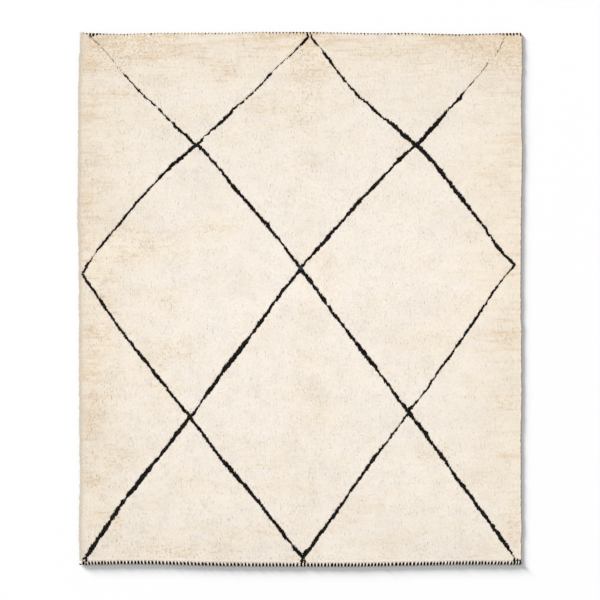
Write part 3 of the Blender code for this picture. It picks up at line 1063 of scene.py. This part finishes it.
STITCH_ARCS = {
    # distance from the outer edge inward as a share of the depth, height of the yarn's middle, and
    # the yarn's relative width: at the front it bites over the edge of the pile, where the black
    # draws thin and the cream spreads to fill the room
    "black_front": (
        (0.03, 0.0024, 0.55), (0.02, 0.0048, 0.86), (0.11, 0.0088, 1.02), (0.23, 0.0124, 1.05),
        (0.36, 0.0152, 1.00), (0.48, 0.0173, 0.88), (0.60, 0.0187, 0.62), (0.74, 0.0194, 0.28),
    ),
    "cream_front": (
        (0.02, 0.0024, 0.72), (0.00, 0.0044, 1.00), (0.10, 0.0076, 1.08), (0.23, 0.0104, 1.15),
        (0.36, 0.0126, 1.22), (0.50, 0.0144, 1.35), (0.66, 0.0154, 1.40), (0.82, 0.0154, 1.00),
    ),
    "back": (
        (0.02, 0.0024, 0.72), (0.00, 0.0046, 1.00), (0.10, 0.0078, 1.00), (0.30, 0.0098, 1.00),
        (0.55, 0.0104, 1.00), (0.76, 0.0096, 1.00), (0.90, 0.0078, 1.00), (0.97, 0.0056, 0.72),
    ),
}
STITCH_PLACES = (
    # number of the black stitch of the front end, millimetres from the middle
    (-1, -1230), (0, -1212), (10, -1036), (20, -842), (50, -240), (62, -12), (63, 13), (64, 30),
    (65, 51), (88, 481), (98, 683), (126, 1187), (127, 1205), (128, 1220), (129, 1235),
)
STITCH_HABIT = (
    # millimetres from the middle, slant to the right of the stitch's inner end, relative length
    # and relative width
    (-1230, 0.40, 0.50, 1.25), (-1212, 0.18, 1.25, 1.10), (-1203, 0.10, 0.95, 0.62),
    (-1194, 0.00, 1.75, 1.40), (-1185, 0.00, 0.95, 0.66), (-1176, 0.00, 1.02, 1.00),
    (-1120, 0.05, 1.00, 1.00), (-700, -0.10, 1.00, 0.94), (-500, -0.22, 1.00, 1.04),
    (-250, -0.05, 0.98, 0.94), (-12, 0.00, 1.00, 1.00), (1, 0.00, 0.85, 0.75),
    (13, 0.00, 1.75, 1.15), (21, 0.00, 0.90, 0.75), (30, 0.00, 1.70, 1.15),
    (40, 0.00, 0.85, 0.75), (51, 0.00, 1.00, 1.00), (250, 0.06, 0.98, 0.95),
    (600, 0.12, 1.02, 1.04), (1150, 0.14, 1.00, 0.95), (1187, 0.08, 1.02, 1.05),
    (1196, 0.04, 0.85, 0.75), (1205, -0.02, 1.80, 1.12), (1212, 0.10, 1.05, 0.58),
    (1220, 0.20, 1.70, 1.48), (1228, 0.16, 1.00, 0.58), (1235, 0.12, 1.45, 1.20),
)
BACK_HABIT = (
    # the same four values at the back end, where the pile hides most of the stitches
    (-1240, 0.00, 1.15, 1.35), (-1128, 0.00, 1.15, 1.35), (-1105, 0.00, 1.00, 0.75),
    (-900, 0.00, 1.00, 0.58), (-250, 0.00, 1.00, 0.48), (-90, 0.00, 1.00, 0.60),
    (-10, 0.00, 1.00, 0.92), (75, 0.00, 1.00, 0.92), (120, 0.00, 1.00, 0.50),
    (300, 0.00, 1.00, 0.68), (500, 0.00, 1.00, 0.86), (1060, 0.00, 1.00, 0.86),
    (1130, 0.00, 1.05, 1.08), (1218, 0.00, 1.05, 1.08), (1230, 0.00, 0.80, 0.70),
)
back_pitch = 0.0095  # one stitch of the back end, black or cream
back_tuck = 0.0022  # the back stitches are drawn in by this much
back_start = 0.002  # the first of them lies this far in from the roll's end
yarn_width = 0.0088
yarn_height = 0.0040
yarn_sides = 6
height_range = (0.95, 1.08)  # from the flattest stitch to the fullest, as shares
wrap_start, wrap_share = 0.1, 0.8  # the part of the yarn's map between the caps at its two ends
cap_middle, cap_half = 0.05, 0.045


def stitch_shape(name, arc):
    """One wrap of thick yarn over the roll, from its outer edge (y = 0) inward, along -Y."""
    shelf = new_shelf(name)
    turn = np.linspace(0.0, 2.0 * np.pi, yarn_sides, endpoint=False)
    centre = np.array([(0.0, -share * binding_depth, z) for share, z, _ in arc])
    last = len(centre) - 1
    points, faces, places = [], [], []
    for k, at in enumerate(centre):
        way = centre[min(k + 1, last)] - centre[max(k - 1, 0)]
        way /= np.linalg.norm(way)
        up = np.cross(way, (1.0, 0.0, 0.0))
        for angle in turn:
            side = np.array((1.0, 0.0, 0.0)) * np.cos(angle) * yarn_width / 2.0
            points.append(tuple(at + arc[k][2] * (side + up * np.sin(angle) * yarn_height / 2.0)))
    for s in range(last):
        low, high = (wrap_start + wrap_share * step / last for step in (s, s + 1))
        for k in range(yarn_sides):
            a, b = s * yarn_sides + k, s * yarn_sides + (k + 1) % yarn_sides
            faces.append((a, b, b + yarn_sides, a + yarn_sides))
            u, v = k / yarn_sides, (k + 1) / yarn_sides
            places += [(u, low), (v, low), (v, high), (u, high)]
    faces.append(tuple(range(yarn_sides - 1, -1, -1)))
    faces.append(tuple(last * yarn_sides + k for k in range(yarn_sides)))
    fan = [(0.5 + 0.5 * np.cos(a), cap_middle + cap_half * np.sin(a)) for a in turn]
    places += fan + [(x, y + wrap_start + wrap_share) for x, y in fan[::-1]]
    mesh = plain_mesh(name, points, faces)
    mesh.shade_smooth()
    unroll(mesh, "fibre", places)
    shelf.objects.link(bpy.data.objects.new(name, mesh))
    return shelf, len(places)


def stitch_row(front):
    """The outer ends of all the stitches of one end, black and cream in turn, with their habit."""
    left, right = (end_edge(front, share)[0] for share in (0.0, 1.0))
    if front:
        numbers, places = zip(*STITCH_PLACES)
        row = np.interp(np.arange(numbers[0], numbers[-1] + 0.1, 0.5), numbers, places) / 1000.0
    else:
        row = np.arange(left + back_start, right + 2.5 * roll_end, back_pitch)
    points = []
    for x in row:
        _, y = end_edge(front, min(1.0, max(0.0, (x - left) / (right - left))))
        points.append((x, y + (-binding_depth if front else binding_depth - back_tuck), 0.0))
    mesh = plain_mesh("stitch_row", points)
    habit_places, *habits = zip(*(STITCH_HABIT if front else BACK_HABIT))
    for name, habit in zip(("slant", "reach", "breadth"), habits):
        keep_at_points(mesh, name, np.interp(row * 1000.0, habit_places, habit))
    return put("stitch_row", mesh)


def stitch_tree():
    """Wraps of yarn at the places of a row, every other one kept."""
    t = Growth(
        "whip_stitches",
        Object=("Row",), Collection=("Stitch",), Material=("Wool",), Int=("Seed",),
        Float=("Turned", "Odd", "Slant Spread", "Width Share", "Width Spread", "Length Spread"),
    )
    of = t.given
    row = t.add("GeometryNodeObjectInfo", Object=of["Row"])["Geometry"]
    points = t.add("GeometryNodeMeshToPoints", row)
    parity = t.math("MODULO", t.add("GeometryNodeInputIndex"), 2.0)
    mine = t.add("FunctionNodeCompare", parity, of["Odd"], data_type="FLOAT", operation="EQUAL")
    slant, reach, breadth = (
        t.add("GeometryNodeInputNamedAttribute", data_type="FLOAT", Name=name)
        for name in ("slant", "reach", "breadth")
    )
    slant = slant + t.chance("FLOAT", -of["Slant Spread"], of["Slant Spread"], 0)
    wide = of["Width Share"] * t.about_one(of["Width Spread"], 1) * breadth
    long = reach * t.about_one(of["Length Spread"], 2)
    placed = t.add(
        "GeometryNodeInstanceOnPoints", Points=points, Selection=mine,
        Instance=t.add("GeometryNodeCollectionInfo", Collection=of["Stitch"]),
        Rotation=t.turned(0.0, of["Turned"] - slant),
        Scale=t.xyz(wide, long, t.chance("FLOAT", *height_range, 3)),
    )
    return t.finish(t.mark(placed, "tone", t.chance("FLOAT", 0.0, 1.0, 4)))


YARN_CREAM = (0.918, 0.884, 0.845)
JET = (0.0030, 0.0030, 0.0034)
THREADBARE = (0.012, 0.011, 0.011)
PLIED = {"across": 5.0, "along": 9.0, "curl": 1.2}  # how the fibre of plied yarn runs
stitches = stitch_tree()
YARNS = (
    # name, material, which of each pair, width as a share of the yarn's own
    ("black", dark_fleece("black_yarn", JET, THREADBARE, **PLIED), 0.0, 1.37),
    ("cream", fleece_wool("cream_yarn", cream=YARN_CREAM, root=0.0, **PLIED), 1.0, 0.82),
)
for end_name, turned, seed in (("front", np.pi, 40), ("back", 0.0, 60)):
    front = end_name == "front"
    row = stitch_row(front)
    for yarn, dye, odd, width_share in YARNS:
        arc = STITCH_ARCS[f"{yarn}_front" if front else "back"]
        yarn_shelf, yarn_corners = stitch_shape("stitch", arc)
        values = {
            "Row": row, "Stitch": yarn_shelf, "Wool": dye, "Turned": turned, "Odd": odd,
            "Slant Spread": 0.18, "Width Share": width_share, "Width Spread": 0.16,
            "Length Spread": 0.11, "Seed": seed,
        }
        name = f"stitches_{yarn}_{end_name}"
        binding_pieces.append(grow(name, stitches, values, yarn_corners))
        clear_shelf(yarn_shelf)
    bpy.data.objects.remove(row)


# ---------------------------------------------------------------------------------------------
# Studio
# A white floor, even light from all round, a soft lamp over the rug, and two lamps from the back
# left corner, one low and one high, that throw the floor's short soft shadow to right and front.

floor_half = 30.0
floor_drop = 0.0004
FLOOR_WHITE = (0.467, 0.467, 0.467, 1.0)
corners = [(-1, -1), (1, -1), (1, 1), (-1, 1)]
corners = [(x * floor_half, y * floor_half, -floor_drop) for x, y in corners]
floor = put("floor", plain_mesh("floor", corners, [(0, 1, 2, 3)]))
paper = bpy.data.materials.new("white_paper")
paper.use_nodes = True
paper_shader = paper.node_tree.nodes["Principled BSDF"]
paper_shader.inputs["Base Color"].default_value = FLOOR_WHITE
paper_shader.inputs["Roughness"].default_value = 0.9
floor.data.materials.append(paper)

LAMPS = (
    # name, what it lights, direction to the lamp, size of the lamp's disc in radians, and what it
    # gives an open level surface, where 1 is paper white
    ("low_lamp", [floor], (-2.85, 2.90, 1.0), 0.24, 1.106),
    ("high_lamp", [floor], (-0.76, 0.81, 1.0), 0.20, 0.270),
    ("rug_lamp", [ground, *pile_pieces, dark_pile, *binding_pieces],
     (-0.40, 0.45, 1.0), 1.0, 0.515),
)
for name, lit, towards, disc, share in LAMPS:
    lamp = put(name, bpy.data.lights.new(name, "SUN"))
    lamp.data.angle = disc
    lamp.data.energy = share * np.pi / Vector(towards).normalized().z
    lamp.rotation_euler = Vector(towards).to_track_quat("Z", "Y").to_euler()
    lit_pieces = bpy.data.collections.new(f"{name}_lights")
    for piece in lit:
        lit_pieces.objects.link(piece)
    lamp.light_linking.receiver_collection = lit_pieces

even_light = 0.70  # what the light from all round gives such a surface
world = bpy.data.worlds.new("studio")
bpy.context.scene.world = world
world.use_nodes = True
background = world.node_tree.nodes["Background"]
background.inputs["Color"].default_value = (1.0, 1.0, 1.0, 1.0)
background.inputs["Strength"].default_value = even_light
bpy.context.scene.view_settings.view_transform = "Standard"

frame_points = 600
metres_per_point = 0.005605
middle_across, middle_down = 299.3, 298.9  # where the photo shows the rug's middle, in points
lens, sensor = 100.0, 36.0
edge_height = 0.012  # the scale holds at the height of the rug's edge
camera = put("camera", bpy.data.cameras.new("camera"))
camera.data.lens = lens
camera.data.sensor_width = sensor
camera.data.clip_end = 100.0
camera.location = (
    (frame_points / 2 - middle_across) * metres_per_point,
    (middle_down - frame_points / 2) * metres_per_point,
    frame_points * metres_per_point * lens / sensor + edge_height,
)
bpy.context.scene.camera = camera
